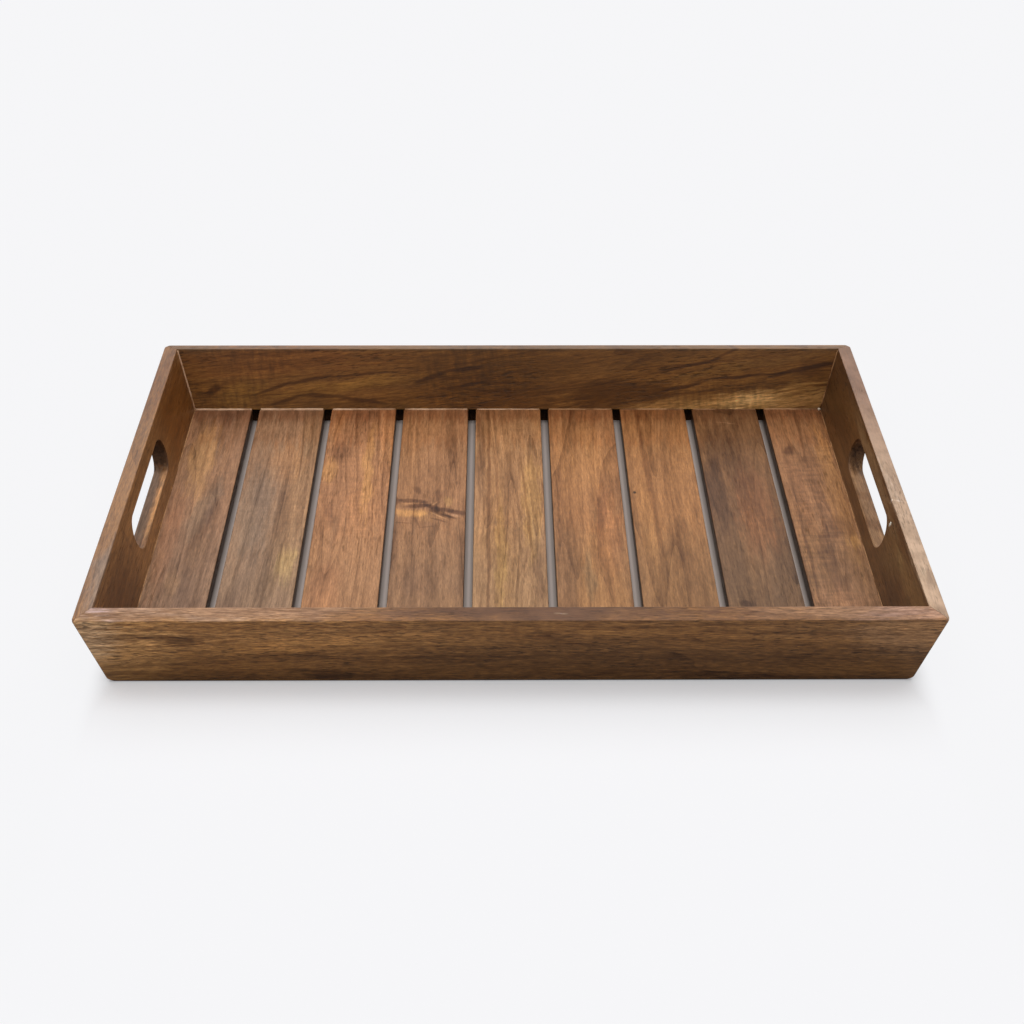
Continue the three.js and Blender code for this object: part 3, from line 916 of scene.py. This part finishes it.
# Brads: headed pins of bright drawn wire, two in each slat end, driven up from below into the wall board
# and set a little under the surface of the slat.
brad_length = 18 * mm
brad_diameter = 1.2 * mm
brad_point = 1.5 * mm
brad_tip_share = 0.1
brad_head_easing = 0.12 * mm
first_brad = start_mesh(
    bpy.ops.mesh.primitive_cylinder_add,
    "first_brad",
    vertices=20,
    radius=brad_head / 2,
    depth=brad_head_height,
    location=(0, 0, brad_head_height / 2),
)
pick(first_brad, "FACE", lambda corners: all(c.z > brad_head_height - near for c in corners))
bpy.ops.mesh.inset(thickness=(brad_head - brad_diameter) / 2)
shank = brad_length - brad_head_height - brad_point
bpy.ops.mesh.extrude_region_move(TRANSFORM_OT_translate={"value": (0, 0, shank)})
bpy.ops.mesh.extrude_region_move(TRANSFORM_OT_translate={"value": (0, 0, brad_point)})
tip = (brad_tip_share, brad_tip_share, 1)
bpy.ops.transform.resize(value=tip, center_override=(0, 0, brad_length))
bpy.ops.object.mode_set(mode="OBJECT")
ease_edges(first_brad, brad_head_easing, 2, lambda ends: all(e.z < near for e in ends))
smooth_over(first_brad)
steel = bpy.data.materials.new("drawn steel wire")
steel.use_nodes = True
tree = steel.node_tree
wire = tree.nodes["Principled BSDF"]
place = add(tree, "TexCoord").outputs["Object"]
drawn = noise(tree, place, (2500, 2500, 200), 3, 0.6)
dulled = fade(tree, noise(tree, place, (900, 900, 900), 2), 0.4, 0.7)
feed(tree, wire.inputs["Base Color"], tint(tree, dulled, tone(182, 181, 176), tone(128, 122, 114)))
wire.inputs["Metallic"].default_value = 1
scored = calc(tree, "MULTIPLY", drawn, 0.5)
feed(tree, wire.inputs["Roughness"], calc(tree, "MULTIPLY_ADD", dulled, 0.25, scored))
first_brad.data.materials.clear()
first_brad.data.materials.append(steel)
for number in range(1, slat_count + 1):
    for depth_name, front_or_back in (("front", -1), ("back", 1)):
        for hand_name, hand in (("left", -1), ("right", 1)):
            brad = loose_copy(first_brad, f"wire_brad_{number}_{depth_name}_{hand_name}")
            x = (number - middle_number) * slat_pitch + hand * brad_spread / 2
            brad.data.transform(brad_place(x, front_or_back))
            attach(brad, "root")
            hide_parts(f"brad_{number}_{depth_name}_{hand_name}")
bpy.data.objects.remove(first_brad)

# Filler: pale beads of glue and sanding dust that dried in the inside corners, along the slat ends, the
# end walls and up the mitres, and two dry crumbs. They are uneven, as wiped off with a finger.
bead_sunk = 0.25 * mm
inner_half_length = foot_half_length + reach(slat_high.z, board_thickness)
inner_half_width = foot_half_width + reach(slat_high.z, board_thickness)


def uneven(bead, cuts, wobble, seed):
    """Divides a bead along its length and moves its points a little at random."""
    select_only(bead)
    bpy.ops.object.mode_set(mode="EDIT")
    bpy.ops.mesh.select_all(action="SELECT")
    bpy.ops.mesh.subdivide(number_cuts=cuts)
    bpy.ops.transform.vertex_random(offset=wobble, uniform=0, normal=0, seed=seed)
    bpy.ops.mesh.normals_make_consistent(inside=False)
    bpy.ops.object.mode_set(mode="OBJECT")
    bpy.ops.object.shade_smooth()


def floor_bead(name, middle, length, distance, leg, turn, seed):
    """A bead in the corner of the floor and a wall at a distance, made at the back wall and then turned."""
    bead = start_mesh(
        bpy.ops.mesh.primitive_cube_add,
        name,
        size=1,
        location=(0, distance, slat_high.z),
        scale=(length, 4 * leg, 4 * leg),
    )
    saw_off(bead, (0, distance - leg, slat_high.z), (0, -1, 1))
    saw_off(bead, (0, 0, slat_high.z - bead_sunk), (0, 0, -1))
    saw_off(bead, (0, distance + bead_sunk, slat_high.z), (0, rise, -run))
    uneven(bead, 12, leg / 5, seed)
    bead.data.transform(Matrix.Rotation(turn, 4, "Z") @ Matrix.Translation((middle, 0, 0)))
    return bead


def corner_bead(name, hand, front_or_back, leg, seed):
    """A bead up the inside corner of two walls, leaning with it."""
    low, high = slat_high.z, rim_height - 2 * rim_easing
    bead = start_mesh(
        bpy.ops.mesh.primitive_cube_add,
        name,
        size=1,
        rotation=(0, 0, math.pi / 4),
        location=(0, 0, (low + high) / 2),
        scale=(leg, leg, high - low),
    )
    uneven(bead, 8, leg / 6, seed)
    follow = Matrix.Identity(4)
    follow[0][2], follow[1][2] = hand * splay, front_or_back * splay
    corner = Matrix.Translation((hand * inner_half_length, front_or_back * inner_half_width, low))
    bead.data.transform(corner @ follow @ Matrix.Translation((0, 0, -low)))
    return bead


def crumb(name, place, half_sizes, lean, seed):
    """A crumb of dried paste that sticks to the wood."""
    blob = start_mesh(
        bpy.ops.mesh.primitive_ico_sphere_add,
        name,
        subdivisions=2,
        radius=1,
        scale=half_sizes,
        rotation=(0, lean, 0),
        location=place,
    )
    uneven(blob, 1, min(half_sizes) / 4, seed)
    return blob


def filler(name, clean, darkened):
    """Dried paste, partly rubbed off to the wood's own tone."""
    made = bpy.data.materials.new(name)
    made.use_nodes = True
    tree = made.node_tree
    paste = tree.nodes["Principled BSDF"]
    paste.inputs["Specular IOR Level"].default_value = 0.3
    place = add(tree, "TexCoord").outputs["Object"]
    smeared = fade(tree, noise(tree, place, (55, 55, 55), 3, 0.6), 0.42, 0.62)
    crumbs = noise(tree, place, (1400, 1400, 1400), 3, 0.6)
    mixed = tint(tree, smeared, clean, darkened)
    speckled = vector_calc(tree, "SCALE", mixed)
    feed(tree, speckled.node.inputs["Scale"], calc(tree, "MULTIPLY_ADD", crumbs, 0.6, 0.7))
    feed(tree, paste.inputs["Base Color"], speckled)
    feed(tree, paste.inputs["Roughness"], calc(tree, "MULTIPLY_ADD", crumbs, 0.3, 0.5))
    grit = add(tree, "Bump")
    grit.inputs["Distance"].default_value = 0.1 * mm
    feed(tree, grit.inputs["Height"], crumbs)
    feed(tree, paste.inputs["Normal"], grit.outputs["Normal"])
    return made


pale_filler = filler("pale filler", tone(222, 184, 150), tone(168, 126, 92))
brown_filler = filler("brown filler", tone(176, 132, 92), tone(112, 76, 46))
dry_filler = filler("dry filler", tone(244, 236, 220), tone(226, 210, 188))
bead_legs = {1: 0.7, 2: 0.8, 3: 0.7, 4: 0.6, 5: 0.45, 6: 0.45, 7: 0.5, 8: 0.3, 9: 0.5}
beads = []
for number, leg in bead_legs.items():
    length = slat_size.x - 2 * slat_easing
    middle = (number - middle_number) * slat_pitch
    if number in (1, slat_count):
        reached = inner_half_length - (slat_count // 2 * slat_pitch - slat_size.x / 2) - slat_easing
        middle -= math.copysign((slat_size.x - slat_easing - reached) / 2, middle)
        length = reached
    paste = pale_filler if number <= middle_number else brown_filler
    for depth_name, turn in (("back", 0), ("front", math.pi)):
        across = middle if turn == 0 else -middle
        seed = 10 * number + len(beads)
        name = f"filler_{number}_{depth_name}"
        beads.append((floor_bead(name, across, length, inner_half_width, leg * mm, turn, seed), paste))
for hand_name, turn, leg in (("right", -math.pi / 2, 0.25), ("left", math.pi / 2, 0.35)):
    name = f"filler_{hand_name}"
    bead = floor_bead(name, 0, 2 * inner_half_width, inner_half_length, leg * mm, turn, len(beads))
    beads.append((bead, brown_filler))
for depth_name, front_or_back in (("front", -1), ("back", 1)):
    for hand_name, hand, leg, paste in (("left", -1, 1.1, pale_filler), ("right", 1, 0.8, brown_filler)):
        name = f"filler_{depth_name}_{hand_name}"
        beads.append((corner_bead(name, hand, front_or_back, leg * mm, len(beads)), paste))
wall_crumb = Vector((0, -58.5 * mm, 46 * mm))
wall_crumb.x = foot_half_length + reach(wall_crumb.z, board_thickness)
wall_crumb_half = (0.7 * mm, 1.2 * mm, 2 * mm)
beads.append((crumb("filler_crumb_wall", wall_crumb, wall_crumb_half, board_lean, 1), dry_filler))
floor_crumb = Vector((inner_half_length - 1.2 * mm, inner_half_width - 1.4 * mm, slat_high.z + 0.7 * mm))
floor_crumb_half = (1.1 * mm, 0.9 * mm, 1.1 * mm)
beads.append((crumb("filler_crumb_floor", floor_crumb, floor_crumb_half, 0, 2), dry_filler))
for bead, paste in beads:
    bead.data.materials.append(paste)
    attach(bead, "root")

# Table and backdrop: one plain pale sheet on which the tray stands. The camera sees part of the sheet as
# white of its own, which thins the shadow round the tray. Under the slats the sheet is dim, with a pale
# strip of light below each gap.
bpy.ops.object.select_all(action="DESELECT")
bpy.ops.mesh.primitive_plane_add(size=12)
table = bpy.context.active_object
table.name = "pale_table"
sheet = bpy.data.materials.new("pale sheet")
sheet.use_nodes = True
tree = sheet.node_tree
paper = tree.nodes["Principled BSDF"]
paper.inputs["Roughness"].default_value = 0.9
paper.inputs["Specular IOR Level"].default_value = 0
place = add(tree, "TexCoord").outputs["Object"]
split = add(tree, "SeparateXYZ")
feed(tree, split.inputs[0], place)
across = calc(tree, "ABSOLUTE", split.outputs["X"])
beside = fade(tree, across, foot_half_length - lip, foot_half_length)
before = fade(tree, calc(tree, "ABSOLUTE", split.outputs["Y"]), foot_half_width - lip, foot_half_width)
outside = calc(tree, "MAXIMUM", beside, before)
# Light falls through each gap, so the sheet is palest below the gap's middle and dim under the slats.
strip = calc(tree, "FRACT", calc(tree, "DIVIDE", across, slat_pitch))
strip = calc(tree, "ABSOLUTE", calc(tree, "SUBTRACT", strip, 0.5))
strip = calc(tree, "MULTIPLY", strip, slat_pitch)
under_slats = (0.2, 0.16, 0.14, 1)
under_gap = (0.5, 0.43, 0.39, 1)
under_middle = (0.7, 0.6, 0.55, 1)
dimmed = tint(tree, fade(tree, strip, 4.5 * mm, 1.5 * mm), under_slats, under_gap)
dimmed = tint(tree, fade(tree, strip, 1.8 * mm, 0.2 * mm), dimmed, under_middle)
path = add(tree, "LightPath").outputs
mirrored = calc(tree, "MULTIPLY", path["Is Glossy Ray"], 0.75)
open_sheet = tint(tree, mirrored, (0.88, 0.88, 0.9, 1), (0, 0, 0, 1))
feed(tree, paper.inputs["Base Color"], tint(tree, outside, dimmed, open_sheet))
own_white = add(tree, "Emission")
own_white.inputs["Color"].default_value = (0.92, 0.92, 0.935, 1)
sideways = fade(tree, across, foot_half_length - 10 * mm, foot_half_length + 14 * mm)
behind = fade(tree, split.outputs["Y"], -foot_half_width, 20 * mm - foot_half_width)
ahead = fade(tree, split.outputs["Y"], -foot_half_width - 8 * mm, -foot_half_width - 32 * mm)
in_front, far_in_front, around = 0.35, 0.63, 0.95
share = calc(tree, "MULTIPLY_ADD", ahead, far_in_front - in_front, in_front)
clear = calc(tree, "MAXIMUM", sideways, behind)
share = calc(tree, "MAXIMUM", share, calc(tree, "MULTIPLY", clear, around))
mixed = add(tree, "MixShader")
seen_outside = calc(tree, "MULTIPLY", path["Is Camera Ray"], outside)
feed(tree, mixed.inputs[0], calc(tree, "MULTIPLY", seen_outside, share))
feed(tree, mixed.inputs[1], paper.outputs[0])
feed(tree, mixed.inputs[2], own_white.outputs[0])
feed(tree, tree.nodes["Material Output"].inputs["Surface"], mixed.outputs[0])
table.data.materials.append(sheet)

# Studio light: a broad soft light from nearly overhead, which the wood does not mirror, and a white room
# that only the camera and the reflections see.
bpy.ops.object.light_add(type="SUN", location=(0, 0, 2))
lamp = bpy.context.active_object
lamp.rotation_euler.x = math.radians(-6)
lamp.data.energy = math.pi
lamp.data.angle = math.radians(90)
lamp.visible_glossy = False
world = bpy.data.worlds.new("studio")
world.use_nodes = True
tree = world.node_tree
path = add(tree, "LightPath").outputs
seen = calc(tree, "MAXIMUM", path["Is Camera Ray"], path["Is Glossy Ray"])
seen = calc(tree, "MAXIMUM", seen, path["Is Transmission Ray"])
room = tree.nodes["Background"]
feed(tree, room.inputs["Color"], tint(tree, seen, (0.06, 0.06, 0.06, 1), (0.92, 0.92, 0.935, 1)))
bpy.context.scene.world = world

# Camera: a long lens before the tray and above it, at the photograph's viewing angle.
camera_place = Vector((-7.97, -962.74, 643.81)) * mm
camera_pitch, camera_yaw, camera_roll = 0.5766, 0.01004, 0.00399
bpy.ops.object.camera_add(location=camera_place)
camera = bpy.context.active_object
turn = Matrix.Rotation(-camera_yaw, 4, "Z") @ Matrix.Rotation(math.pi / 2 - camera_pitch, 4, "X")
camera.matrix_world = Matrix.Translation(camera_place) @ turn @ Matrix.Rotation(camera_roll, 4, "Z")
camera.data.sensor_width = 36
camera.data.lens = 61.118
camera.data.clip_start = 10 * mm
bpy.context.scene.camera = camera
bpy.context.scene.view_settings.view_transform = "Standard"
